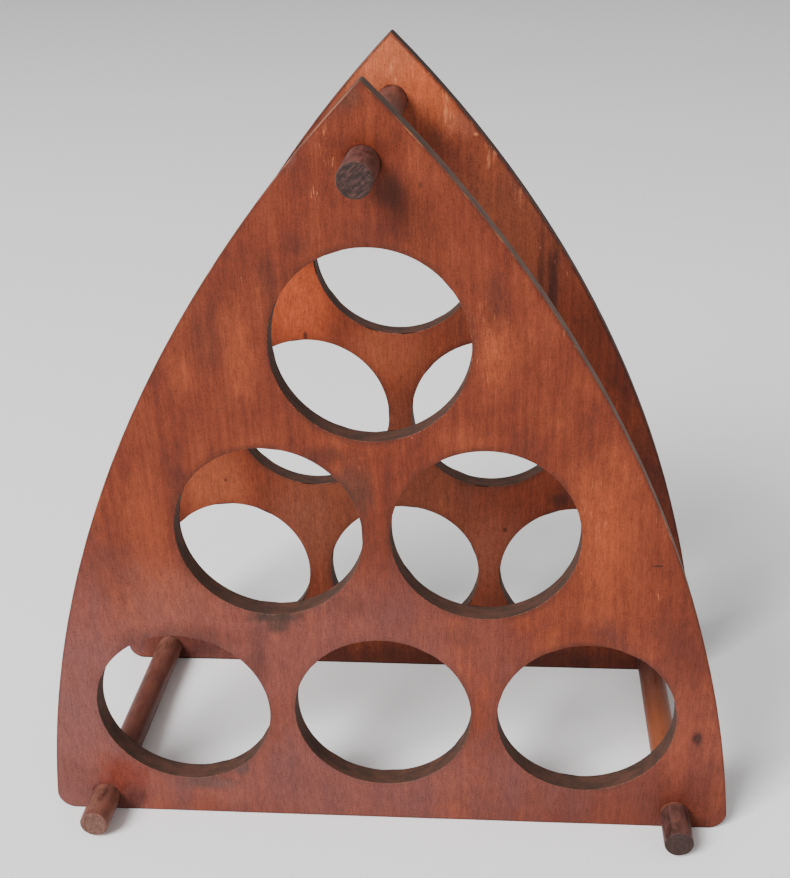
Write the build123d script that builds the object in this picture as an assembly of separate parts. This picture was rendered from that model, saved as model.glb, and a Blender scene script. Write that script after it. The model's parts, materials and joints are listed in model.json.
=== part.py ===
from build123d import *
import os
from math import hypot, sqrt

# A six-bottle wooden wine rack: two pointed-arch boards on edge, one behind the other,
# held apart by three through dowels. Each bottle lies in a hole of the front board and
# the hole behind it in the rear board.
#
# Frame, mm: X along the width, Y from front to rear, Z up. The origin is on the plane
# that the rack stands on, midway between the two sides and between the two boards.

# Driving dimensions
board_height = 401.0
base_width = 379.0            # between the side arcs, where they meet the base line
side_arc_radius = 636.0
base_corner_radius = 10.0
board_thickness = 12.0
board_gap = 138.0             # clear space between the boards

bottle_hole_diameter = 95.0   # passes the body of a 750 ml wine bottle
bottle_hole_pitch = 109.0     # between neighbours in a row
row_heights = (72.0, 182.0, 281.5)

dowel_diameter = 16.0
glue_line = 0.05              # radial, between a dowel and its hole
dowel_end_round = 1.0
lower_dowel_spacing = 320.0
lower_dowel_height = 10.0
top_dowel_height = 366.0
lower_dowel_stand_out = 25.0  # beyond each board's outer face
top_dowel_stand_out = 31.0

# Worked out
rack_depth = board_gap + 2 * board_thickness
board_middle = (board_gap + board_thickness) / 2

# Dowel name: (x, z, how far it stands out of each board)
DOWELS = {
    "left_dowel": (-lower_dowel_spacing / 2, lower_dowel_height, lower_dowel_stand_out),
    "right_dowel": (lower_dowel_spacing / 2, lower_dowel_height, lower_dowel_stand_out),
    "top_dowel": (0.0, top_dowel_height, top_dowel_stand_out),
}


def side_arc_middle():
    """The point halfway along the right side's arc, between its base corner and the apex."""
    half_base = base_width / 2
    chord = hypot(half_base, board_height)
    rise = side_arc_radius - sqrt(side_arc_radius**2 - (chord / 2) ** 2)
    return (
        half_base / 2 + rise * board_height / chord,
        board_height / 2 + rise * half_base / chord,
    )


def board_outline():
    """Pointed arch: a straight base, two side arcs that meet at the apex, rounded base corners."""
    half_base = base_width / 2
    x, z = side_arc_middle()
    apex = (0, board_height)
    with BuildSketch(Plane.XZ) as outline:
        with BuildLine():
            Line((-half_base, 0), (half_base, 0))
            ThreePointArc((half_base, 0), (x, z), apex)
            ThreePointArc(apex, (-x, z), (-half_base, 0))
        make_face()
        corners = outline.vertices().group_by(Axis.Y)[0]
        fillet(corners, base_corner_radius)
    return outline.sketch


def bottle_hole_places():
    """(x, z) of the bottle holes: three in the bottom row, then two, then one."""
    places = []
    for row, height in enumerate(row_heights):
        count = len(row_heights) - row
        for i in range(count):
            places.append(((i - (count - 1) / 2) * bottle_hole_pitch, height))
    return places


def rod(x, z, radius, length):
    """A cylinder along Y, centred on the middle of the rack."""
    return Pos(x, 0, z) * Rot(X=90) * Cylinder(radius, length)


def make_board(y):
    """One board, its middle at y, with its bottle holes and dowel holes."""
    half = board_thickness / 2
    board = extrude(Pos(0, y, 0) * board_outline(), amount=half, both=True)
    for x, z in bottle_hole_places():
        board -= rod(x, z, bottle_hole_diameter / 2, 2 * rack_depth)
    for x, z, _ in DOWELS.values():
        board -= rod(x, z, dowel_diameter / 2 + glue_line, 2 * rack_depth)
    return board


def make_dowel(x, z, stand_out):
    """One through dowel with slightly rounded ends."""
    dowel = rod(x, z, dowel_diameter / 2, rack_depth + 2 * stand_out)
    ends = dowel.edges().filter_by(GeomType.CIRCLE)
    return fillet(ends, dowel_end_round)


def main():
    os.makedirs("parts", exist_ok=True)
    export_step(make_board(-board_middle), "parts/front_board.step")
    export_step(make_board(board_middle), "parts/rear_board.step")
    for name, (x, z, stand_out) in DOWELS.items():
        export_step(make_dowel(x, z, stand_out), f"parts/{name}.step")


main()
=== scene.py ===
import json
from math import atan2, ceil, cos, hypot, pi, radians, sin, sqrt
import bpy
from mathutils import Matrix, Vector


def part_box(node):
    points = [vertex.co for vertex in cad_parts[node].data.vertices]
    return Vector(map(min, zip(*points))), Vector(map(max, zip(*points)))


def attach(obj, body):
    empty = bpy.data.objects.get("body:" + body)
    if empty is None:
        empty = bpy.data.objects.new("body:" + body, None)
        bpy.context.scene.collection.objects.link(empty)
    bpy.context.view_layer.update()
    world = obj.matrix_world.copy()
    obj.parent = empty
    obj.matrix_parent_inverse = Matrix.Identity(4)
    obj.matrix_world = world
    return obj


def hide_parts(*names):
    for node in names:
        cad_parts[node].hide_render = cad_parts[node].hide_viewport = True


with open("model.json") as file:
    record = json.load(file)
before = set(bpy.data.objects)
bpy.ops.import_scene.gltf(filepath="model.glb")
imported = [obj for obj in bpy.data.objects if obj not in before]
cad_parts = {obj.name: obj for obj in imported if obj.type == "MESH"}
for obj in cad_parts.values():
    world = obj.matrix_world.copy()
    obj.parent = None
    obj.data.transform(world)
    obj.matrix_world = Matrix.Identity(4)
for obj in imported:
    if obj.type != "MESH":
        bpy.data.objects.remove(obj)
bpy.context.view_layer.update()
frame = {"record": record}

from types import SimpleNamespace

import bmesh
import bpy
from mathutils import Matrix, Vector, noise
from mathutils.geometry import delaunay_2d_cdt

# A wooden rack for six bottles: two pointed-arch boards on edge, and three dowels through both.
# Metres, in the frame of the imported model: X along the width, Y to the rear, Z up.
# Lengths inside the materials are in millimetres.

MM = 0.001

# ---------------------------------------------------------------- sizes

BASE_WIDTH = 379 * MM           # between the side arcs, where they meet the base line
SIDE_RADIUS = 636 * MM
BASE_CORNER = 10 * MM
APEX_ROUND = 1.2 * MM
GLUE_LINE = 0.05 * MM
ARRIS = 0.65 * MM               # rounding of a board's outline
HOLE_ARRIS = 0.4 * MM
DOWEL_HOLE_ARRIS = 0.15 * MM
ARRIS_WANDER = 0.3              # how much an arris's rounding varies, as a share of it
OUTLINE_NICKS = 2.0             # how deep nicks in an arris go, in units of its rounding
HOLE_NICKS = 0.6
NICK_START = 0.48               # noise above this is a nick
WALL_WAVE = 0.05 * MM           # how far a cut edge waves in and out

EDGE_STEP = 1.2 * MM            # spacing of points along a cut edge
FACE_STEP = 5.0 * MM            # spacing of points over a board's faces
HOLE_POINTS = 48                # fewest points round a hole
ARRIS_STEPS = 4
CORNER_STEPS = 14
APEX_STEPS = 4
WALL_STEPS = 7

DOWEL_END_ROUND = 0.6 * MM
RIM_WIDTH = 0.2                 # outer share of an end face's radius where the rim is worn
RIM_SHRINK = 0.2 * MM           # most that wear takes off a rim sideways
RIM_DROP = 0.25 * MM            # most that wear takes off a rim endways
RIM_NOISE = 2.6                 # how often that wear comes and goes round a rim
BODY_WANDER = 0.09 * MM         # how far a dowel's body is off a true cylinder
BODY_NOISE = 1.4                # how often that comes and goes round the body
BODY_NOISE_LENGTH = 14 * MM     # and along it

DOWEL_STEP = 2.5 * MM           # spacing of rings along a dowel
DOWEL_POINTS = 72               # points round a dowel
END_FACE_STEPS = 16
END_ROUND_STEPS = 6

WELD = 0.004 * MM               # vertices closer than this are joined
SLIVER = 0.002 * MM             # faces thinner than this are dropped

lowest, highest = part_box("front_board")
BOARD_HEIGHT = highest[2] - lowest[2]
BOARD_THICKNESS = highest[1] - lowest[1]
FRONT_FACE = lowest[1]          # Y of the front board's front face

# (x, z, radius) of each bottle hole in a board
BOTTLE_HOLES = [
    (mount["pos_m"][0], mount["pos_m"][2], mount["dims"]["r_mm"] * MM)
    for mount in frame["record"]["mounts"]
    if mount["kind"] == "bore"
]


def dowel_size(node):
    """(x, z, radius, front end, rear end) of a dowel."""
    low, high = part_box(node)
    return (low[0] + high[0]) / 2, (low[2] + high[2]) / 2, (high[0] - low[0]) / 2, low[1], high[1]


DOWELS = {node: dowel_size(node) for node in ("left_dowel", "right_dowel", "top_dowel")}
DOWEL_HOLES = [(x, z, radius + GLUE_LINE) for x, z, radius, _, _ in DOWELS.values()]

# ---------------------------------------------------------------- outline of a board

HALF_BASE = BASE_WIDTH / 2
CHORD = hypot(HALF_BASE, BOARD_HEIGHT)
TO_CENTRE = sqrt(SIDE_RADIUS**2 - (CHORD / 2) ** 2)
# Centre of the right side's arc; the left side mirrors it.
ARC_X = HALF_BASE / 2 - TO_CENTRE * BOARD_HEIGHT / CHORD
ARC_Z = BOARD_HEIGHT / 2 - TO_CENTRE * HALF_BASE / CHORD
# The base corner's rounding touches the base line and the side arc.
CORNER_X = ARC_X + sqrt((SIDE_RADIUS - BASE_CORNER) ** 2 - (BASE_CORNER - ARC_Z) ** 2)
CORNER_TOUCH = atan2(BASE_CORNER - ARC_Z, CORNER_X - ARC_X)
# The apex's rounding touches both side arcs.
APEX_Z = ARC_Z + sqrt((SIDE_RADIUS - APEX_ROUND) ** 2 - ARC_X**2)
APEX_TOUCH = atan2(APEX_Z - ARC_Z, -ARC_X)


def spread(start, end, count):
    """count evenly spaced values from start to end, leaving out the end."""
    return [start + (end - start) * i / count for i in range(count)]


def outline_points():
    """The outline's right half, from the middle of the base to the apex.

    Each point is (centre x, centre z, radius, angle): it lies at that radius from the centre of
    the arc that it is on. A radius of 0 marks the straight base, where the angle is x instead.
    """
    points = [(0, 0, 0, x) for x in spread(0, CORNER_X, ceil(CORNER_X / EDGE_STEP))]
    for angle in spread(-pi / 2, CORNER_TOUCH, CORNER_STEPS):
        points.append((CORNER_X, BASE_CORNER, BASE_CORNER, angle))
    for angle in spread(CORNER_TOUCH, APEX_TOUCH, ceil(CHORD / EDGE_STEP)):
        points.append((ARC_X, ARC_Z, SIDE_RADIUS, angle))
    for angle in spread(APEX_TOUCH, pi / 2, APEX_STEPS) + [pi / 2]:
        points.append((0, APEX_Z, APEX_ROUND, angle))
    return points


def inside(point, inset):
    """(x, z) of an outline point moved inwards by inset, and never past the centre line."""
    centre_x, centre_z, radius, angle = point
    if radius == 0:
        return angle, inset
    apex = 0, ARC_Z + sqrt((SIDE_RADIUS - inset) ** 2 - ARC_X**2)
    if radius <= inset:
        return apex
    x = centre_x + (radius - inset) * cos(angle)
    z = centre_z + (radius - inset) * sin(angle)
    return (x, z) if x > 0 else apex


def outline_ring(inset):
    """The whole outline, anticlockwise as seen from the front, inset by inset(x, z) at each point."""
    right = []
    left = []
    for point in outline_points():
        x, z = inside(point, 0)
        right.append(inside(point, inset(x, z)))
        mirrored_x, mirrored_z = inside(point, inset(-x, z))
        left.append((-mirrored_x, mirrored_z))
    return right + left[-2:0:-1]


def hole_ring(hole):
    """A function that gives a round hole's edge, moved into the wood by inset(x, z)."""
    centre_x, centre_z, radius = hole
    count = max(ceil(2 * pi * radius / EDGE_STEP), HOLE_POINTS)

    def ring(inset):
        points = []
        for angle in spread(0, 2 * pi, count):
            across, up = cos(angle), sin(angle)
            r = radius + inset(centre_x + radius * across, centre_z + radius * up)
            points.append((centre_x + r * across, centre_z + r * up))
        return points

    return ring


# ---------------------------------------------------------------- mesh of a board


def wander(seed, x, z, reach):
    """Smooth noise over the board, about -1 to 1; reach is its wavelength in metres."""
    return noise.noise(Vector((x / reach, z / reach, seed * 7.31)))


def arris_size(seed, arris, nicked, x, z):
    """How far an arris is rounded there: worn unevenly, with a nick here and there."""
    worn = 1 + ARRIS_WANDER * wander(seed, x, z, 45 * MM)
    nick = max(wander(seed + 3, x, z, 4.5 * MM) - NICK_START, 0)
    return arris * (worn + nicked * nick)


def edge_rings(make_ring, arris, nicked, seed):
    """The rings of (x, y, z) down a cut edge, from the board's front face to its rear face."""

    def front_size(x, z):
        return arris_size(seed, arris, nicked, x, z)

    def rear_size(x, z):
        return arris_size(seed + 1, arris, nicked, x, z)

    def waviness(x, z):
        return WALL_WAVE * (1 + wander(seed + 9, x, z, 7 * MM))

    plain = make_ring(lambda x, z: 0)

    def round_ring(size, turn):
        """(x, z) and depth below the face of each point, turn radians round an arris."""
        flat = make_ring(lambda x, z: size(x, z) * (1 - sin(turn)) + waviness(x, z) * sin(turn))
        return [(x, z, size(*at) * (1 - cos(turn))) for (x, z), at in zip(flat, plain)]

    turns = [pi / 2 * i / ARRIS_STEPS for i in range(ARRIS_STEPS + 1)]
    rings = []
    for turn in turns:
        rings.append([(x, depth, z) for x, z, depth in round_ring(front_size, turn)])
    wall = make_ring(waviness)
    for share in spread(0, 1, WALL_STEPS)[1:]:
        ring = []
        for (x, z), at in zip(wall, plain):
            start = front_size(*at)
            end = BOARD_THICKNESS - rear_size(*at)
            ring.append((x, start + (end - start) * share, z))
        rings.append(ring)
    for turn in reversed(turns):
        rings.append([(x, BOARD_THICKNESS - depth, z) for x, z, depth in round_ring(rear_size, turn)])
    return rings


def in_the_wood(x, z, margin=0):
    """Whether a point lies outside every hole, and by more than margin."""
    holes = BOTTLE_HOLES + DOWEL_HOLES
    return all(hypot(x - hx, z - hz) > radius + margin for hx, hz, radius in holes)


def clear_of_edges(x, z, margin):
    """Whether a point of the face lies at least margin from every cut edge."""
    if z < margin or hypot(abs(x) - ARC_X, z - ARC_Z) > SIDE_RADIUS - margin:
        return False
    if abs(x) > CORNER_X and z < BASE_CORNER:
        return False
    return in_the_wood(x, z, margin)


def face_points():
    """Points spread over a face in staggered rows, clear of its edges."""
    points = []
    rows = int(BOARD_HEIGHT / FACE_STEP)
    columns = int(HALF_BASE / FACE_STEP)
    for row in range(1, rows):
        z = row * FACE_STEP
        shift = FACE_STEP / 2 * (row % 2)
        for column in range(-columns, columns):
            x = column * FACE_STEP + shift
            if clear_of_edges(x, z, ARRIS + FACE_STEP / 2):
                points.append((x, z))
    return points


def fill_face(loops, y, vertices):
    """Triangles between the loops of vertex numbers, with new points spread over the face."""
    coords = []
    numbers = []
    edges = []
    for loop in loops:
        first = len(coords)
        for i, number in enumerate(loop):
            coords.append(Vector((vertices[number][0], vertices[number][2])))
            numbers.append(number)
            edges.append((first + i, first + (i + 1) % len(loop)))
    for x, z in face_points():
        coords.append(Vector((x, z)))
        numbers.append(len(vertices))
        vertices.append((x, y, z))
    inside_edges = 1
    found = delaunay_2d_cdt(coords, edges, [], inside_edges, 1e-7)
    new_coords, faces, sources = found[0], found[2], found[3]
    triangles = []
    for face in faces:
        x = sum(new_coords[i].x for i in face) / 3
        z = sum(new_coords[i].y for i in face) / 3
        if in_the_wood(x, z):
            triangles.append([numbers[sources[i][0]] for i in face])
    return triangles


def new_piece(name, vertices, faces, material, node):
    """A smooth-shaded mesh object that stands for a node of the frame."""
    mesh = bpy.data.meshes.new(name)
    mesh.from_pydata(vertices, [], faces)
    shape = bmesh.new()
    shape.from_mesh(mesh)
    bmesh.ops.remove_doubles(shape, verts=shape.verts, dist=WELD)
    bmesh.ops.dissolve_degenerate(shape, edges=shape.edges, dist=SLIVER)
    bmesh.ops.recalc_face_normals(shape, faces=shape.faces)
    for face in shape.faces:
        face.smooth = True
    shape.to_mesh(mesh)
    shape.free()
    mesh.materials.append(material)
    piece = bpy.data.objects.new(name, mesh)
    bpy.context.scene.collection.objects.link(piece)
    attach(piece, "root")
    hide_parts(node)
    return piece


def ring_faces(first, rings, count):
    """Faces between neighbouring rings of count vertices each, numbered on from first."""
    faces = []
    for ring in range(rings - 1):
        a = first + ring * count
        for i in range(count):
            j = (i + 1) % count
            faces.append((a + i, a + j, a + count + j, a + count + i))
    return faces


def make_board(node, material, seed):
    """A board: its outline and nine holes as rounded, slightly worn edges, and two flat faces."""
    front_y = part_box(node)[0][1]
    cuts = [(outline_ring, ARRIS, OUTLINE_NICKS)]
    cuts += [(hole_ring(hole), HOLE_ARRIS, HOLE_NICKS) for hole in BOTTLE_HOLES]
    cuts += [(hole_ring(hole), DOWEL_HOLE_ARRIS, 0) for hole in DOWEL_HOLES]
    vertices = []
    faces = []
    front_loops = []
    rear_loops = []
    for number, (make_ring, arris, nicked) in enumerate(cuts):
        rings = edge_rings(make_ring, arris, nicked, seed + 20 * number)
        count = len(rings[0])
        first = len(vertices)
        for ring in rings:
            vertices += ring
        faces += ring_faces(first, len(rings), count)
        front_loops.append(range(first, first + count))
        rear_loops.append(range(len(vertices) - count, len(vertices)))
    faces += fill_face(front_loops, 0, vertices)
    faces += fill_face(rear_loops, BOARD_THICKNESS, vertices)
    placed = [(x, y + front_y, z) for x, y, z in vertices]
    return new_piece(node + "_wood", placed, faces, material, node)


# ---------------------------------------------------------------- mesh of a dowel


def end_profile(radius):
    """(radius, depth from the end) from the middle of an end face out over its rounded rim."""
    flat = radius - DOWEL_END_ROUND
    profile = [(flat * share, 0) for share in spread(0, 1, END_FACE_STEPS)[1:]]
    for i in range(END_ROUND_STEPS + 1):
        turn = pi / 2 * i / END_ROUND_STEPS
        profile.append((flat + DOWEL_END_ROUND * sin(turn), DOWEL_END_ROUND * (1 - cos(turn))))
    return profile


def dowel_profile(radius, length):
    """(radius, distance from the front end) of each ring, from end face to end face."""
    end = end_profile(radius)
    body = spread(DOWEL_END_ROUND, length - DOWEL_END_ROUND, int(length / DOWEL_STEP))[1:]
    rear_end = [(r, length - depth) for r, depth in reversed(end)]
    return end + [(radius, y) for y in body] + rear_end


def saw_marks(x, z, tilt, seed):
    """Depth of the saw's ridges across an end face, 0 to 1."""
    across = x * cos(tilt) + z * sin(tilt)
    along = z * cos(tilt) - x * sin(tilt)
    ridge = noise.noise(Vector((across / (0.9 * MM), along / (7 * MM), seed)))
    coarse = noise.noise(Vector((across / (2.6 * MM), along / (9 * MM), seed + 5)))
    return min(max(0.5 + 0.6 * ridge + 0.5 * coarse, 0), 1)


def noise_round(angle, fineness, offset):
    """Noise that runs smoothly round a dowel, 0 to 1."""
    return 0.5 + 0.5 * noise.noise(Vector((cos(angle) * fineness, sin(angle) * fineness, offset)))


def make_dowel(node, material, seed, saw_tilt, saw_depth):
    """A dowel along Y: sawn end faces, uneven rounded rims and a slightly uneven body."""
    centre_x, centre_z, radius, front_y, rear_y = dowel_size(node)
    length = rear_y - front_y
    profile = dowel_profile(radius, length)

    def worn_point(r, y, angle):
        """The vertex at radius r, distance y from the front end and that angle round the dowel."""
        across, up = cos(angle), sin(angle)
        rear_half = y > length / 2
        uneven = noise_round(angle, BODY_NOISE, y / BODY_NOISE_LENGTH + seed * 3)
        wear = noise_round(angle, RIM_NOISE, seed + (9 if rear_half else 0))
        at_end = min(y, length - y) < DOWEL_END_ROUND * 1.01
        rim = max(r / radius - (1 - RIM_WIDTH), 0) / RIM_WIDTH
        shrink = BODY_WANDER * uneven
        if at_end:
            shrink += RIM_SHRINK * wear * rim
        reach = r - shrink * min(r / radius, 1)
        x, z = reach * across, reach * up
        inward = 0
        if at_end:
            inward = saw_depth * saw_marks(x, z, saw_tilt, seed) + RIM_DROP * wear * rim**2
        y += -inward if rear_half else inward
        return centre_x + x, front_y + y, centre_z + z

    turns = spread(0, 2 * pi, DOWEL_POINTS)
    vertices = [worn_point(r, y, angle) for r, y in profile for angle in turns]
    faces = ring_faces(0, len(profile), DOWEL_POINTS)
    inward = saw_depth * saw_marks(0, 0, saw_tilt, seed)
    last_ring = (len(profile) - 1) * DOWEL_POINTS
    for ring, y in ((0, front_y + inward), (last_ring, rear_y - inward)):
        middle = len(vertices)
        vertices.append((centre_x, y, centre_z))
        for i in range(DOWEL_POINTS):
            faces.append((middle, ring + i, ring + (i + 1) % DOWEL_POINTS))
    return new_piece(node + "_wood", vertices, faces, material, node)


# ---------------------------------------------------------------- building materials


def tint(red, green, blue):
    """A colour given as it looks on a screen, 0 to 255, as the linear RGBA that shaders take."""
    linear = []
    for value in (red, green, blue):
        v = value / 255
        linear.append(v / 12.92 if v <= 0.04045 else ((v + 0.055) / 1.055) ** 2.4)
    return (*linear, 1)


class Paint:
    """A material's node tree. Each method adds one node and gives its output."""

    def __init__(self, name):
        self.material = bpy.data.materials.new(name)
        self.material.use_nodes = True
        self.tree = self.material.node_tree
        self.shader = self.tree.nodes["Principled BSDF"]

    def node(self, kind, output, inputs, **settings):
        made = self.tree.nodes.new(kind)
        for name, value in settings.items():
            setattr(made, name, value)
        for key, value in inputs.items():
            if isinstance(value, bpy.types.NodeSocket):
                self.tree.links.new(value, made.inputs[key])
            else:
                made.inputs[key].default_value = value
        return made.outputs[output]

    def place(self):
        """Object coordinates in millimetres."""
        coords = self.node("ShaderNodeTexCoord", "Object", {})
        return self.vector("SCALE", coords, scale=1 / MM)

    def facing_y(self):
        """1 where the surface faces along Y, forwards or backwards, and 0 where it faces across Y."""
        normal = self.node("ShaderNodeTexCoord", "Normal", {})
        return self.math("ABSOLUTE", self.axes(normal)[1])

    def vector(self, operation, a, b=None, scale=None):
        inputs = {0: a}
        if b is not None:
            inputs[1] = b
        if scale is not None:
            inputs["Scale"] = scale
        return self.node("ShaderNodeVectorMath", "Vector", inputs, operation=operation)

    def far(self, a, b):
        """Distance between two points."""
        return self.node("ShaderNodeVectorMath", "Value", {0: a, 1: b}, operation="DISTANCE")

    def axes(self, vector):
        made = self.tree.nodes.new("ShaderNodeSeparateXYZ")
        self.tree.links.new(vector, made.inputs[0])
        return made.outputs[0], made.outputs[1], made.outputs[2]

    def math(self, operation, a, b=0.0, c=0.0):
        return self.node("ShaderNodeMath", 0, {0: a, 1: b, 2: c}, operation=operation)

    def fade(self, value, start, end, low=0.0, high=1.0):
        """Goes smoothly from low, where value is start, to high, where it is end."""
        inputs = {"Value": value, "From Min": start, "From Max": end, "To Min": low, "To Max": high}
        return self.node("ShaderNodeMapRange", 0, inputs, interpolation_type="SMOOTHSTEP")

    def grain(self, coords, size, detail=2.0, roughness=0.5, distortion=0.0):
        """Noise, 0 to 1, whose features have that size in millimetres along X, Y and Z."""
        scaled = self.vector("MULTIPLY", coords, tuple(1 / length for length in size))
        inputs = {"Vector": scaled, "Scale": 1.0, "Detail": detail, "Roughness": roughness,
                  "Distortion": distortion}
        return self.node("ShaderNodeTexNoise", 0, inputs)

    def specks(self, coords, size):
        """Distance to the nearest of many scattered points, in units of size."""
        scaled = self.vector("MULTIPLY", coords, tuple(1 / length for length in size))
        return self.node("ShaderNodeTexVoronoi", "Distance", {"Vector": scaled, "Scale": 1.0})

    def mix(self, share, a, b, blend="MIX"):
        inputs = {0: share, 6: a, 7: b}
        return self.node("ShaderNodeMix", 2, inputs, data_type="RGBA", blend_type=blend)

    def ramp(self, value, stops):
        made = self.tree.nodes.new("ShaderNodeValToRGB")
        self.tree.links.new(value, made.inputs[0])
        band = made.color_ramp
        while len(band.elements) < len(stops):
            band.elements.new(0.5)
        for element, (position, colour) in zip(band.elements, stops):
            element.position = position
            element.color = colour
        return made.outputs[0]

    def finish(self, colour, roughness, height, bump_depth, **fixed):
        """Feeds the shader; height is in units of bump_depth metres."""
        bump = {"Height": height, "Distance": bump_depth, "Strength": 1.0}
        normal = self.node("ShaderNodeBump", 0, bump)
        self.tree.links.new(colour, self.shader.inputs["Base Color"])
        self.tree.links.new(roughness, self.shader.inputs["Roughness"])
        self.tree.links.new(normal, self.shader.inputs["Normal"])
        for name, value in fixed.items():
            self.shader.inputs[name.replace("_", " ")].default_value = value
        return self.material


# ---------------------------------------------------------------- wood of the boards

BUMP_DEPTH = 0.12 * MM          # how deep the grain is, at most

# The boards' stain, from dark to light
# The darkest also serves as painted shadow
DARK_STAIN_AND_SHADE = tint(62, 26, 19)
MID_STAIN = tint(92, 38, 22)
RED_STAIN = tint(106, 46, 26)
ORANGE_STAIN = tint(144, 70, 40)
# Marks on it, from dark to light
# The darkest of these also serves as painted shade and painted shadow
GLAZE_AND_SHADE = tint(42, 22, 18)
OLIVE = tint(46, 37, 31)
DEEP_RED = tint(100, 38, 21)
ROSY = tint(107, 67, 64)
VEIL = tint(122, 70, 50)
DUSTY = tint(136, 78, 60)
GLOW = tint(154, 72, 38)
# Painted light on the rear board
PAINTED_LIGHT_ORANGE = tint(168, 74, 40)
# Also painted light near the rear board's point
PALE_STAIN_AND_LIGHT = tint(168, 88, 56)
BARE_WOOD = tint(190, 116, 78)
# Cut edges: walls of the holes, and the outline of each board
WALL_DARK = tint(57, 43, 37)
WALL_LIGHT = tint(83, 54, 44)
# Painted light: the front outline's cut edge, paler where it faces up towards the light
OUTER_WALL = tint(112, 87, 75)
REAR_OUTER_WALL = tint(66, 46, 40)

APEX_SHADE = (345, 400, 0, 0.6)  # the outline's cut edge darkens from z to z (mm), by how much
APEX_WEAR = (-14, 388, 20, 18)   # a worn stretch of arris: x, z, half-width, half-height (mm)
HOLE_WEAR_AND_HIGHLIGHT = 0.3                  # how pale the arris of a hole is: partly wear, partly a painted highlight

SPOT_RIM = 1.15                 # a mark fades out from its core to its rim, in units of its half-size
SPOT_CORE = 0.25
BROAD_MARK = 24                 # marks of a larger half-width have soft, uneven edges
TALL_MARK = 1.5                 # marks this many times as high as wide have streaked edges

# Marks on a board's front face, some of them painted shadow and painted reflection: x, z, half-width,
# half-height (mm), colour, strength
FRONT_MARKS = (
    (-184, 52, 85, 150, ROSY, 0.68),        # bloom over the lower left, partly a painted reflection of the pale floor in the lacquer
    (-40, 110, 140, 70, ROSY, 0.42),
    (20, 20, 190, 46, DARK_STAIN_AND_SHADE, 0.12),
    (-112, 142, 36, 26, DUSTY, 0.2),
    (-76, 288, 11, 26, GLAZE_AND_SHADE, 0.32),        # smudges and glow left of the top hole
    (-60, 276, 9, 26, GLOW, 0.28),
    (-92, 268, 9, 15, GLOW, 0.2),
    (-46, 316, 7, 16, GLAZE_AND_SHADE, 0.35),
    (-30, 330, 12, 6, GLAZE_AND_SHADE, 0.3),
    (-85, 300, 40, 50, DARK_STAIN_AND_SHADE, 0.12),
    (57, 306, 8, 17, GLAZE_AND_SHADE, 0.32),          # right of the top hole
    (60, 276, 12, 22, GLOW, 0.22),
    (12, 354, 8, 10, GLAZE_AND_SHADE, 0.5),           # round the top dowel: a painted shadow of the dowel to its lower right, and darker below it
    (-4, 336, 22, 8, DARK_STAIN_AND_SHADE, 0.3),
    (2, 384, 14, 12, GLOW, 0.12),           # near the point
    (-5, 395, 8, 8, OLIVE, 0.45),
    (-9, 389, 9, 6, GLAZE_AND_SHADE, 0.25),
    (-24, 226, 14, 7, GLAZE_AND_SHADE, 0.45),         # between the top and middle holes
    (-10, 207, 12, 22, OLIVE, 0.48),        # between the middle holes
    (0, 176, 12, 30, DARK_STAIN_AND_SHADE, 0.24),
    (-16, 141, 16, 9, GLAZE_AND_SHADE, 0.25),
    (-96, 206, 8, 16, GLAZE_AND_SHADE, 0.25),         # left of the middle holes
    (-135, 170, 24, 40, DARK_STAIN_AND_SHADE, 0.3),
    (112, 185, 22, 55, GLOW, 0.35),         # glow on both sides of the middle holes
    (-118, 180, 14, 42, GLOW, 0.2),
    (-54, 133, 19, 5.5, OLIVE, 0.85),       # glaze that ran below the holes
    (-53, 127, 9, 5, OLIVE, 0.7),
    (-100, 21.5, 22, 6.5, OLIVE, 0.9),
    (-80, 33, 7, 8.5, OLIVE, 0.95),
    (-97, 119, 38, 9, GLAZE_AND_SHADE, 0.35),         # above the lower left hole
    (-132, 112, 12, 12, GLAZE_AND_SHADE, 0.3),
    (-66, 104, 8, 16, GLAZE_AND_SHADE, 0.35),
    (-147, 24, 17, 18, DEEP_RED, 0.85),     # red above the left dowel; to its right, a painted shadow of the dowel
    (-144, 9, 9, 12, DARK_STAIN_AND_SHADE, 0.85),
    (-176, 24, 12, 18, DARK_STAIN_AND_SHADE, 0.22),
    (158, 62, 10, 50, GLOW, 0.2),           # towards the lower right
    (140, 50, 90, 90, ROSY, 0.22),
    (120, 10, 80, 40, DARK_STAIN_AND_SHADE, 0.25),
    (168, 118, 30, 40, DARK_STAIN_AND_SHADE, 0.45),
    (175, 20, 26, 30, DARK_STAIN_AND_SHADE, 0.4),
    (110, 140, 24, 11, GLOW, 0.2),
    (40, 122, 13, 8, GLAZE_AND_SHADE, 0.25),          # above the lower middle hole
    (25, 18, 60, 13, DARK_STAIN_AND_SHADE, 0.3),      # along the foot
    (-90, 15, 22, 11, DUSTY, 0.2),
    (140, 168, 3.5, 0.8, GLAZE_AND_SHADE, 0.8),       # short dents
    (25, 357, 1.4, 1.8, GLAZE_AND_SHADE, 0.5),
    (-20, 25, 150, 50, ROSY, 0.5),          # bloom along the foot, partly a painted reflection of the floor, and left of the point
    (-32, 372, 4, 9, ROSY, 0.5),
    (168, 62, 4.4, 6.2, GLAZE_AND_SHADE, 0.9),        # knot
    (168.6, 61.5, 1.5, 1.8, OUTER_WALL, 0.06),
)
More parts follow.
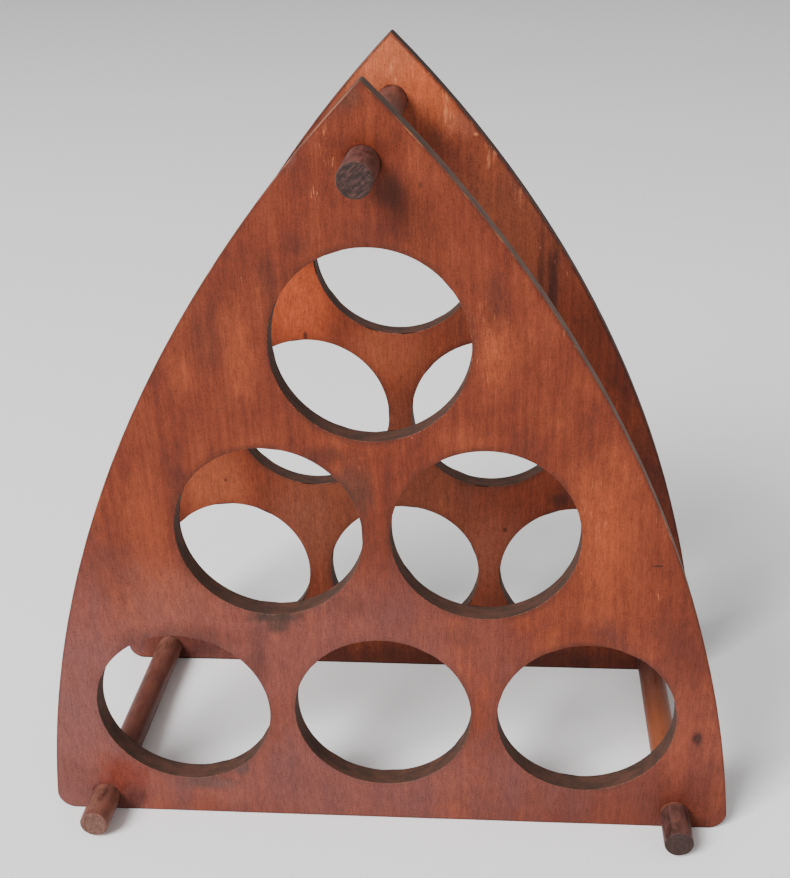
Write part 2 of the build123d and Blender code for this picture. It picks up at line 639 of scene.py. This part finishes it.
# The rear board's marks, in the same columns; some of them painted light, shade and shadow
REAR_MARKS = (
    (-10, 110, 90, 110, VEIL, 0.45),        # greyer over the middle and the right
    (60, 290, 60, 70, VEIL, 0.3),
    (0, 390, 60, 42, PALE_STAIN_AND_LIGHT, 0.72),     # painted light: paler and more orange towards the point, where light reaches over the front board
    (16, 376, 14, 14, PAINTED_LIGHT_ORANGE, 0.45),
    (-30, 372, 14, 16, RED_STAIN, 0.4),
    (28, 358, 12, 18, GLOW, 0.6),
    # painted shadow of the top dowel on the rear board
    (24, 348, 10, 14, GLAZE_AND_SHADE, 0.35),
    (38, 354, 13, 10, DUSTY, 0.3),
    (0, 383, 1.2, 4, BARE_WOOD, 0.45),      # scratches near the point
    (2, 376, 0.9, 3.5, BARE_WOOD, 0.4),
    (29.5, 369, 1.2, 6, BARE_WOOD, 0.45),
    (28.5, 359, 1.1, 7, BARE_WOOD, 0.4),
    (45, 348, 1.7, 1.2, BARE_WOOD, 0.6),
    (52, 335, 1.1, 6, BARE_WOOD, 0.35),
    (-184, 10, 12, 14, ROSY, 0.6),          # bloom on the lower left corner
    (-60, 255, 26, 34, PAINTED_LIGHT_ORANGE, 0.6),    # painted light left of the top hole, where light passes the front board
    (-4, 222, 30, 26, PALE_STAIN_AND_LIGHT, 0.26),    # paler bridges between the holes
    (-118, 132, 26, 36, PALE_STAIN_AND_LIGHT, 0.38),
    (-60, 100, 26, 40, DUSTY, 0.22),
    (60, 90, 28, 34, DUSTY, 0.32),
    (42, 138, 14, 8, GLAZE_AND_SHADE, 0.3),
    (89, 262, 4, 36, GLAZE_AND_SHADE, 0.75),          # dark upright streaks
    (82, 272, 2.4, 34, GLAZE_AND_SHADE, 0.5),
    # painted shade: darker towards the right, where the front board shades the rear board
    (100, 225, 40, 90, GLAZE_AND_SHADE, 0.14),
    (150, 120, 40, 90, GLAZE_AND_SHADE, 0.45),
    (98, 126, 10, 6, GLAZE_AND_SHADE, 0.6),           # small dark spots
    (64, 104, 1.8, 2.4, GLAZE_AND_SHADE, 0.8),
    (-55, 232, 1.4, 3.2, GLAZE_AND_SHADE, 0.8),
    (-111, 136, 1.4, 1.8, GLAZE_AND_SHADE, 0.7),
    (-140, 10, 50, 26, ROSY, 0.5),          # bloom along the foot; painted shade along the foot and round the left dowel, with the dowel's painted shadow to its right
    (-168, 12, 26, 22, GLAZE_AND_SHADE, 0.3),
    (-136, 8, 24, 14, GLAZE_AND_SHADE, 0.6),
    (40, 4, 160, 22, GLAZE_AND_SHADE, 0.6),
    (-62, 10, 30, 14, GLAZE_AND_SHADE, 0.35),
)

# Where fine upright scratches show paler wood: x, z, half-width, half-height (mm), strength
FRONT_RUBS = (
    (-17, 378, 3, 13, 0.5),
    (-14, 366, 3, 7, 0.5),
    (-22, 353, 4, 5, 0.6),
    (-5, 225.5, 3.0, 1.0, 0.9),
    (142, 150, 2, 3, 0.6),
    (54, 285, 12, 26, 0.3),
    (106, 190, 14, 45, 0.25),
    (-60, 150, 60, 30, 0.15),
)
REAR_RUBS = (
    (0, 381, 6, 7, 0.6),
    (12, 378, 5, 5, 0.4),
    (29, 362, 6, 15, 0.6),
    (53, 340, 5, 12, 0.6),
    (70, 318, 6, 16, 0.4),
    (-60, 255, 20, 30, 0.25),
)


def spot(paint, place, mark, ragged):
    """A soft-edged oval, 1 in the middle and 0 past its rim, which ragged makes uneven."""
    x, z, wide, high = mark
    offset = paint.vector("SUBTRACT", place, (x, 0, z))
    offset = paint.vector("MULTIPLY", offset, (1 / wide, 0, 1 / high))
    reach = paint.node("ShaderNodeVectorMath", "Value", {0: offset}, operation="LENGTH")
    return paint.fade(paint.math("ADD", reach, ragged), SPOT_RIM, SPOT_CORE)


def mark_edge(oval, wood):
    """The unevenness that suits a mark's edge: soft on a large one, streaked on a tall one."""
    _, _, wide, high = oval
    if wide > BROAD_MARK:
        return wood.broad
    return wood.streaked if high > TALL_MARK * wide else wood.ragged


def board_grain(paint, seed):
    """The noise in a board's wood: layers stretched along Z, which sway a little, and even ones."""
    wood = SimpleNamespace()
    wood.place = paint.place()
    wood.x, wood.y, wood.z = paint.axes(wood.place)
    wood.shifted = paint.vector("ADD", wood.place, (seed * 113.0, seed * 57.0, seed * 211.0))
    sway = paint.grain(wood.shifted, (120, 120, 220), 1)
    bend = paint.math("MULTIPLY_ADD", sway, 16.0, -8.0)
    shift = paint.node("ShaderNodeCombineXYZ", 0, {0: bend})
    wood.swayed = paint.vector("ADD", wood.shifted, shift)

    wood.streaks = paint.grain(wood.swayed, (3, 3, 95), 3, 0.6)
    wood.bands = paint.grain(wood.swayed, (15, 15, 240), 2, 0.5)
    wood.fibres = paint.grain(wood.swayed, (0.7, 0.7, 6), 3, 0.65)
    wood.pores = paint.fade(paint.grain(wood.swayed, (0.45, 0.45, 5), 1, 0.5), 0.36, 0.28)
    wood.speckle = paint.grain(wood.shifted, (0.8, 0.8, 1.1), 2, 0.6)
    wood.mottle = paint.grain(wood.shifted, (2.8, 2.8, 5.5), 3, 0.65)
    wood.blotches = paint.grain(wood.shifted, (28, 28, 44), 3, 0.6, 0.4)
    # what makes the edge of a mark uneven: ragged, drawn out along the grain, or broad and soft
    crumbs = paint.grain(wood.shifted, (5, 5, 7), 3, 0.6)
    wood.ragged = paint.math("MULTIPLY_ADD", crumbs, 1.0, -0.5)
    threads = paint.grain(wood.shifted, (3.6, 3.6, 12), 3, 0.6)
    wood.streaked = paint.math("MULTIPLY_ADD", threads, 1.1, -0.55)
    wood.broad = paint.math("MULTIPLY_ADD", wood.blotches, 0.8, -0.4)
    return wood


def distance_to_hole(paint, wood):
    """How far the nearest bottle hole's edge is, in millimetres."""
    flat = paint.node("ShaderNodeCombineXYZ", 0, {0: wood.x, 2: wood.z})
    nearest = 1000.0
    for hole_x, hole_z, radius in BOTTLE_HOLES:
        distance = paint.far(flat, (hole_x / MM, 0, hole_z / MM))
        nearest = paint.math("MINIMUM", paint.math("SUBTRACT", distance, radius / MM), nearest)
    return nearest


def distance_to_outline(paint, wood):
    """How far the nearest side arc or the base is, in millimetres."""
    across = paint.math("SUBTRACT", paint.math("ABSOLUTE", wood.x), ARC_X / MM)
    up = paint.math("SUBTRACT", wood.z, ARC_Z / MM)
    arm = paint.node("ShaderNodeCombineXYZ", 0, {0: across, 2: up})
    side = paint.math("SUBTRACT", SIDE_RADIUS / MM, paint.far(arm, (0, 0, 0)))
    return paint.math("MINIMUM", side, wood.z)


def stained(paint, wood):
    """The board's uneven stain, dark to orange."""
    tone = 0.5
    for layer, weight in ((wood.streaks, 0.5), (wood.bands, 0.4), (wood.blotches, 0.68)):
        tone = paint.math("MULTIPLY_ADD", layer, weight, paint.math("SUBTRACT", tone, weight / 2))
    stops = ((0.12, DARK_STAIN_AND_SHADE), (0.42, MID_STAIN), (0.58, RED_STAIN), (0.9, ORANGE_STAIN))
    return paint.ramp(tone, stops)


def glaze_round_holes(paint, wood, colour):
    """Glaze that gathered along the bottle holes, in patches."""
    ragged = paint.math("MULTIPLY_ADD", wood.mottle, -5.0, paint.math("ADD", wood.to_hole, 2.5))
    glaze = paint.math("MULTIPLY", paint.fade(ragged, 4.5, 0.0), paint.fade(wood.blotches, 0.35, 0.6))
    return paint.mix(paint.math("MULTIPLY", glaze, 0.5), colour, GLAZE_AND_SHADE)


def glaze_along_outline(paint, wood, colour, amount):
    """Glaze that gathered along the outline."""
    outline = distance_to_outline(paint, wood)
    glaze = paint.math("MULTIPLY", paint.fade(outline, 2.0, 0.6), paint.fade(wood.mottle, 0.2, 0.6))
    return paint.mix(paint.math("MULTIPLY", glaze, amount), colour, GLAZE_AND_SHADE)


def marked(paint, wood, colour, marks):
    """The board's marks, on its front face only: stains, glaze and smudges, and painted light, shade,
    shadow and reflection.
    """
    for *oval, stain, strength in marks:
        share = paint.math("MULTIPLY", spot(paint, wood.place, oval, mark_edge(oval, wood)), wood.at_front)
        colour = paint.mix(paint.math("MULTIPLY", share, strength), colour, stain)
    return colour


def fine_grained(paint, wood, colour):
    """Fine grain over the marks, which darkens and lightens whatever is under it."""
    fine = paint.math("MULTIPLY_ADD", wood.fibres, 0.8, paint.math("MULTIPLY_ADD", wood.mottle, 0.6, -0.17))
    fine = paint.math("MULTIPLY_ADD", wood.speckle, 1.0, fine)
    fine = paint.math("MULTIPLY_ADD", wood.pores, -0.12, fine)
    fine = paint.node("ShaderNodeCombineXYZ", 0, {0: fine, 1: fine, 2: fine})
    return paint.mix(1.0, colour, fine, "MULTIPLY")


def rubbed(paint, wood, colour, rubs):
    """Scratches, scuffs and specks where the stain is rubbed through."""
    scratches = paint.grain(wood.swayed, (0.6, 0.6, 7), 3, 0.7)
    scratch = paint.fade(paint.math("MULTIPLY_ADD", wood.mottle, 0.35, scratches), 0.74, 0.83)
    for *oval, strength in rubs:
        share = paint.math("MULTIPLY", spot(paint, wood.place, oval, wood.ragged), wood.at_front)
        share = paint.math("MULTIPLY", share, scratch)
        colour = paint.mix(paint.math("MULTIPLY", share, strength), colour, BARE_WOOD)
    scuffs = paint.specks(wood.swayed, (7, 7, 40))
    scuffs = paint.math("MULTIPLY", paint.fade(scuffs, 0.07, 0.02), paint.fade(wood.mottle, 0.5, 0.6))
    flecks = paint.specks(wood.shifted, (13, 13, 17))
    flecks = paint.math("MULTIPLY", paint.fade(flecks, 0.04, 0.02), paint.fade(wood.streaks, 0.45, 0.6))
    flecks = paint.math("MULTIPLY", flecks, 0.4)
    bare = paint.math("MAXIMUM", paint.math("MULTIPLY", scuffs, 0.3), flecks)
    return paint.mix(bare, colour, BARE_WOOD)


def with_cut_edges(paint, wood, colour, outer_wall):
    """Dark cut edges with tool marks along them; the outline's take outer_wall's colour, which on the front
    board is painted light, paler as if lit from above.
    """
    smears = paint.grain(wood.shifted, (10, 5, 10), 3, 0.6)
    tone = paint.math("MULTIPLY_ADD", smears, 0.6, paint.math("MULTIPLY", wood.tool, 0.2))
    tone = paint.math("MULTIPLY_ADD", wood.speckle, 0.2, tone)
    hole_wall = paint.mix(paint.fade(tone, 0.35, 0.65), WALL_DARK, WALL_LIGHT)
    # painted light: the outline's cut edge takes outer_wall's colour, on the front board paler as if lit
    # from above
    outer = paint.mix(paint.fade(tone, 0.3, 0.6), WALL_LIGHT, outer_wall)
    outer = paint.mix(paint.fade(wood.z, *APEX_SHADE), outer, WALL_DARK)
    wall = paint.mix(paint.fade(wood.to_hole, 3.0, 6.0), hole_wall, outer)
    return paint.mix(wood.on_wall, colour, wall)


def with_worn_and_highlit_arrises(paint, wood, colour, outline_wear):
    """Pale worn stretches on the outline's arris, and small pale specks round the holes, partly wear and
    partly a painted highlight.
    """
    off_wall = paint.fade(wood.facing, 0.3, 0.7)
    on_arris = paint.math("MULTIPLY", off_wall, paint.fade(wood.facing, 0.995, 0.9))
    on_outline = paint.math("MULTIPLY", on_arris, paint.fade(wood.to_hole, 3.0, 5.0))
    wear = paint.fade(paint.grain(wood.shifted, (16, 16, 16), 3, 0.65), 0.52, 0.68)
    wear = paint.math("MAXIMUM", wear, spot(paint, wood.place, APEX_WEAR, wood.ragged))
    worn = paint.math("MULTIPLY", on_outline, wear)
    colour = paint.mix(paint.math("MULTIPLY", worn, outline_wear), colour, BARE_WOOD)
    # pale specks on the holes' arris: partly wear, partly a painted highlight
    round_hole = paint.math("MULTIPLY", on_arris, paint.fade(wood.to_hole, 3.0, 1.0))
    worn = paint.math("MULTIPLY", round_hole, paint.fade(wood.speckle, 0.5, 0.65))
    return paint.mix(paint.math("MULTIPLY", worn, HOLE_WEAR_AND_HIGHLIGHT), colour, BARE_WOOD)


def board_material(name, seed, middle, outer_wall, outline_wear, outline_glaze, marks, rubs):
    """Stained, lacquered wood with upright grain. middle is the Y of the board's mid-plane, in mm."""
    paint = Paint(name)
    wood = board_grain(paint, seed)
    wood.at_front = paint.fade(wood.y, middle + 2, middle - 2)
    wood.to_hole = distance_to_hole(paint, wood)
    wood.facing = paint.facing_y()
    wood.on_wall = paint.fade(wood.facing, 0.75, 0.3)
    wood.tool = paint.grain(wood.shifted, (24, 0.7, 24), 3, 0.6)

    colour = stained(paint, wood)
    colour = glaze_round_holes(paint, wood, colour)
    colour = marked(paint, wood, colour, marks)
    colour = glaze_along_outline(paint, wood, colour, outline_glaze)
    colour = fine_grained(paint, wood, colour)
    colour = rubbed(paint, wood, colour, rubs)
    colour = with_cut_edges(paint, wood, colour, outer_wall)
    colour = with_worn_and_highlit_arrises(paint, wood, colour, outline_wear)

    roughness = paint.math("MULTIPLY_ADD", wood.blotches, 0.16, 0.38)
    roughness = paint.math("MULTIPLY_ADD", wood.fibres, 0.1, roughness)
    roughness = paint.math("MULTIPLY_ADD", wood.on_wall, 0.22, roughness)
    height = paint.math("MULTIPLY_ADD", wood.fibres, 0.5, paint.math("MULTIPLY", wood.pores, -0.5))
    height = paint.math("MULTIPLY_ADD", wood.mottle, 0.5, height)
    height = paint.math("MULTIPLY_ADD", paint.math("MULTIPLY", wood.on_wall, wood.tool), 1.2, height)
    return paint.finish(colour, roughness, height, BUMP_DEPTH, Specular_IOR_Level=0.16)


# ---------------------------------------------------------------- wood of the dowels

DOWEL_BODY = tint(92, 58, 53)
DOWEL_DARK = tint(50, 30, 27)
DOWEL_PALE = tint(128, 76, 62)
DOWEL_BARE = tint(166, 118, 98)

# Colours of the body and of the sawn ends; how worn the rims are; and the colour, and how much of
# it, that the dowel takes on from inside the front board to inner_until, in mm along Y. On the left dowel
# that colour is painted shade between the boards
DOWEL_WOODS = {
    "top_dowel": SimpleNamespace(
        body=DOWEL_BODY, body_dark=DOWEL_DARK, end=tint(74, 48, 43), end_dark=tint(34, 23, 20),
        rim_wear=0.05, inner=DOWEL_DARK, inner_until=70, inner_share=0.2,
    ),
    "left_dowel": SimpleNamespace(
        body=tint(116, 74, 63), body_dark=tint(74, 44, 37), end=tint(111, 78, 68),
        # inner: painted shade where the left dowel lies between the boards
        end_dark=tint(84, 54, 46), rim_wear=0.5, inner=tint(78, 36, 27), inner_until=70, inner_share=0.6,
    ),
    "right_dowel": SimpleNamespace(
        body=tint(86, 56, 51), body_dark=DOWEL_DARK, end=tint(62, 42, 38), end_dark=tint(42, 29, 26),
        rim_wear=0.0, inner=tint(140, 74, 42), inner_until=45, inner_share=0.75,
    ),
}


def dowel_inner_colour(paint, colour, along, tone, blotches, look):
    """The dowel takes on its inner colour behind the front board, unevenly, and then loses it; on the left
    dowel this is painted shade between the boards.
    """
    uneven = paint.math("MULTIPLY_ADD", blotches, 60, along)
    before = paint.fade(uneven, look.inner_until + 50, look.inner_until - 30)
    behind = paint.fade(along, FRONT_FACE / MM - 3, FRONT_FACE / MM + 3)
    amount = paint.fade(tone, 0.3, 0.6, look.inner_share / 2, look.inner_share)
    share = paint.math("MULTIPLY", paint.math("MULTIPLY", before, behind), amount)
    return paint.mix(share, colour, look.inner)


def sawn_end(paint, shifted, saw_tilt, look):
    """Colour of a sawn end face, and the saw's marks across it."""
    turn = {"Vector": shifted, "Axis": (0, 1, 0), "Angle": saw_tilt}
    turned = paint.node("ShaderNodeVectorRotate", 0, turn, rotation_type="AXIS_ANGLE")
    saw = paint.grain(turned, (0.6, 3, 4.5), 3, 0.6)
    speckle = paint.grain(shifted, (0.35, 1, 0.35), 2, 0.6)
    tone = paint.math("MULTIPLY_ADD", saw, 0.5, paint.math("MULTIPLY", speckle, 0.2))
    tone = paint.math("MULTIPLY_ADD", paint.grain(shifted, (2, 9, 2), 3, 0.6), 0.4, tone)
    return paint.mix(paint.fade(tone, 0.46, 0.7), look.end_dark, look.end), saw


def dowel_material(name, seed, saw_tilt, look):
    """Dark stained dowel: grain along Y and sawn ends."""
    paint = Paint(name)
    place = paint.place()
    along = paint.axes(place)[1]
    shifted = paint.vector("ADD", place, (seed * 31.0, seed * 17.0, seed * 43.0))
    facing = paint.facing_y()

    fibres = paint.grain(shifted, (0.7, 16, 0.7), 3, 0.65)
    streaks = paint.grain(shifted, (3.5, 60, 3.5), 3, 0.6)
    blotches = paint.grain(shifted, (7, 12, 7), 3, 0.65, 0.5)
    tone = paint.math("MULTIPLY_ADD", fibres, 0.35, paint.math("MULTIPLY", streaks, 0.2))
    tone = paint.math("MULTIPLY_ADD", blotches, 0.65, tone)
    colour = paint.ramp(tone, ((0.44, look.body_dark), (0.64, look.body), (0.82, DOWEL_PALE)))
    colour = dowel_inner_colour(paint, colour, along, tone, blotches, look)

    end_colour, saw = sawn_end(paint, shifted, saw_tilt, look)
    on_end = paint.fade(facing, 0.55, 0.85)
    colour = paint.mix(on_end, colour, end_colour)
    on_rim = paint.math("MULTIPLY", paint.fade(facing, 0.25, 0.5), paint.fade(facing, 0.95, 0.75))
    worn = paint.math("MULTIPLY", on_rim, paint.fade(blotches, 0.5, 0.62))
    colour = paint.mix(paint.math("MULTIPLY", worn, look.rim_wear), colour, DOWEL_BARE)

    roughness = paint.math("MULTIPLY_ADD", blotches, 0.2, 0.36)
    roughness = paint.math("MULTIPLY_ADD", on_end, 0.22, roughness)
    height = paint.math("MULTIPLY_ADD", fibres, 0.7, paint.math("MULTIPLY", on_end, saw))
    return paint.finish(colour, roughness, height, BUMP_DEPTH, Specular_IOR_Level=0.22)


# ---------------------------------------------------------------- the rack

# node, colour of its outline's cut edge, wear and glaze along that outline, marks and rubs
BOARDS = (
    ("front_board", OUTER_WALL, 0.4, 0.35, FRONT_MARKS, FRONT_RUBS),
    ("rear_board", REAR_OUTER_WALL, 0.1, 0.75, REAR_MARKS, REAR_RUBS),
)
for seed, (board, *finish) in enumerate(BOARDS, 1):
    low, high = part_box(board)
    middle = (low[1] + high[1]) / 2 / MM
    make_board(board, board_material(board + "_wood", seed, middle, *finish), seed)

# node, tilt of the saw's marks in radians, their depth
DOWEL_ENDS = (
    ("top_dowel", -0.9, 0.22 * MM),
    ("left_dowel", -0.3, 0.08 * MM),
    ("right_dowel", 0.2, 0.1 * MM),
)
for seed, (dowel, saw_tilt, saw_depth) in enumerate(DOWEL_ENDS, 3):
    wood = dowel_material(dowel + "_wood", seed, saw_tilt, DOWEL_WOODS[dowel])
    make_dowel(dowel, wood, seed, saw_tilt, saw_depth)


# ---------------------------------------------------------------- stage, light and camera

FLOOR_REACH = 6.0
WORLD_STRENGTH = 0.5

# The viewpoint: in front, above and a little to the right, looking down at the rack
CAMERA_PLACE = (0.0638, -0.6263, 0.4885)
CAMERA_TURN = 4.354             # degrees about Z, to the left
CAMERA_DOWN = 27.517            # degrees below level
CAMERA_ROLL = -1.075            # degrees about the line of sight
LENS = 51.66                    # mm
SENSOR = 36.0                   # mm
FRAME_SHIFT = (-0.0284, 0.068)  # as shares of the sensor


def stage_floor():
    """A pale floor far larger than the view."""
    mesh = bpy.data.meshes.new("floor")
    reach = FLOOR_REACH
    corners = [(-reach, -reach, 0), (reach, -reach, 0), (reach, reach, 0), (-reach, reach, 0)]
    mesh.from_pydata(corners, [], [(0, 1, 2, 3)])
    paint = Paint("pale_floor")
    paint.shader.inputs["Base Color"].default_value = (0.9, 0.9, 0.9, 1)
    paint.shader.inputs["Roughness"].default_value = 1.0
    mesh.materials.append(paint.material)
    floor = bpy.data.objects.new("floor", mesh)
    bpy.context.scene.collection.objects.link(floor)


def soft_light(name, place, target, size, power):
    """A square area light at place, turned to face target."""
    data = bpy.data.lights.new(name, "AREA")
    data.size = size
    data.energy = power
    lamp = bpy.data.objects.new(name, data)
    lamp.location = place
    lamp.rotation_euler = (Vector(target) - Vector(place)).to_track_quat("-Z", "Y").to_euler()
    bpy.context.scene.collection.objects.link(lamp)


def light_world(strength):
    """Even white light from all around."""
    world = bpy.data.worlds.new("studio")
    world.use_nodes = True
    sky = world.node_tree.nodes["Background"]
    sky.inputs["Color"].default_value = (1, 1, 1, 1)
    sky.inputs["Strength"].default_value = strength
    bpy.context.scene.world = world


def place_camera():
    """The scene's camera, at the viewpoint above."""
    data = bpy.data.cameras.new("camera")
    data.sensor_width = SENSOR
    data.lens = LENS
    data.shift_x, data.shift_y = FRAME_SHIFT
    camera = bpy.data.objects.new("camera", data)
    turn = Matrix.Rotation(radians(CAMERA_TURN), 4, "Z")
    tilt = Matrix.Rotation(radians(90 - CAMERA_DOWN), 4, "X")
    roll = Matrix.Rotation(radians(CAMERA_ROLL), 4, "Z")
    camera.matrix_world = Matrix.Translation(CAMERA_PLACE) @ turn @ tilt @ roll
    bpy.context.scene.collection.objects.link(camera)
    bpy.context.scene.camera = camera


stage_floor()
light_world(WORLD_STRENGTH)
soft_light("key", place=(-2.4, -3.28, 3.28), target=(0, -0.08, 0.25), size=2.3, power=500)
soft_light("fill", place=(1.4, -1.2, 0.8), target=(0, 0, 0.2), size=1.2, power=4)
place_camera()
